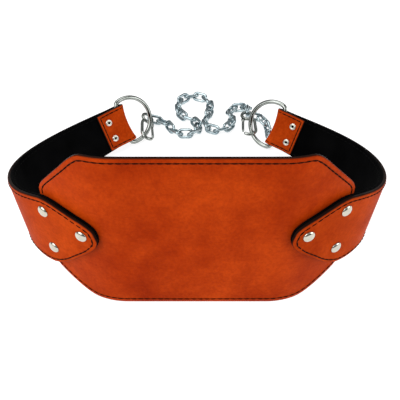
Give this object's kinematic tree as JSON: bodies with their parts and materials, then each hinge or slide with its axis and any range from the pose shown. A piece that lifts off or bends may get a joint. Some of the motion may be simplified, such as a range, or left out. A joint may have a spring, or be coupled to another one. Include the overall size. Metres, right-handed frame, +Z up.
{
  "type": "dip belt",
  "caption": "Leather dip belt lying on a surface: a stitched back panel, curled straps with D-rings, and a chain held by snap hooks.",
  "frame": {"origin": "centre of the footprint, on the surface the belt lies on", "axes": "+X across the belt from the wearer's one side to the other, -Y toward the panel's outer face, +Z up"},
  "size_m": [0.335, 0.2918, 0.1495],
  "materials": {
    "panel_leather": "smooth orange-brown leather, darker stitched rim",
    "strap_leather": "smooth orange-brown leather, dark edge",
    "suede": "black suede",
    "polished_steel": "polished nickel plate",
    "zinc_steel": "bright zinc plate"
  },
  "bodies": {
    "belt": {"chain_link_01": "zinc_steel", "chain_link_02": "zinc_steel", "chain_link_03": "zinc_steel", "chain_link_04": "zinc_steel", "chain_link_05": "zinc_steel", "chain_link_06": "zinc_steel", "chain_link_07": "zinc_steel", "chain_link_08": "zinc_steel", "chain_link_09": "zinc_steel", "chain_link_10": "zinc_steel", "chain_link_11": "zinc_steel", "chain_link_12": "zinc_steel", "chain_link_13": "zinc_steel", "chain_link_14": "zinc_steel", "chain_link_15": "zinc_steel", "chain_link_16": "zinc_steel", "chain_link_17": "zinc_steel", "chain_link_18": "zinc_steel", "chain_link_19": "zinc_steel", "chain_link_20": "zinc_steel", "chain_link_21": "zinc_steel", "chain_link_22": "zinc_steel", "chain_link_23": "zinc_steel", "chain_link_24": "zinc_steel", "chain_link_25": "zinc_steel", "chain_link_26": "zinc_steel", "chain_link_27": "zinc_steel", "chain_link_28": "zinc_steel", "chain_link_29": "zinc_steel", "left_d_ring": "zinc_steel", "left_rivet_lower": "polished_steel", "left_rivet_tip": "polished_steel", "left_rivet_upper": "polished_steel", "left_snap_hook": "polished_steel", "left_strap_leather": "strap_leather", "left_strap_lining": "suede", "left_tab_rivet_lower": "polished_steel", "left_tab_rivet_upper": "polished_steel", "panel_leather": "panel_leather", "panel_lining": "suede", "right_d_ring": "zinc_steel", "right_rivet_lower": "polished_steel", "right_rivet_tip": "polished_steel", "right_rivet_upper": "polished_steel", "right_snap_hook": "polished_steel", "right_strap_leather": "strap_leather", "right_strap_lining": "suede", "right_tab_rivet_lower": "polished_steel", "right_tab_rivet_upper": "polished_steel", "tail_link_01": "zinc_steel", "tail_link_02": "zinc_steel", "tail_link_03": "zinc_steel", "tail_link_04": "zinc_steel"},
    "left_gate": {"left_snap_gate": "polished_steel"},
    "right_gate": {"right_snap_gate": "polished_steel"}
  },
  "joints": [
    {"name": "left_gate_hinge", "type": "hinge", "parent": "belt", "child": "left_gate", "pos_m": [-0.05124, 0.08592, 0.0055], "axis": [0.5913, -0.0212, 0.8062], "range_deg": [-12, 0], "stiffness_Nm_per_rad": 0.004, "springref_deg": 5.73},
    {"name": "right_gate_hinge", "type": "hinge", "parent": "belt", "child": "right_gate", "pos_m": [0.05211, 0.08488, 0.01325], "axis": [0.0079, 0.0002, -1], "range_deg": [-12, 0], "stiffness_Nm_per_rad": 0.004, "springref_deg": 5.73}
  ]
}
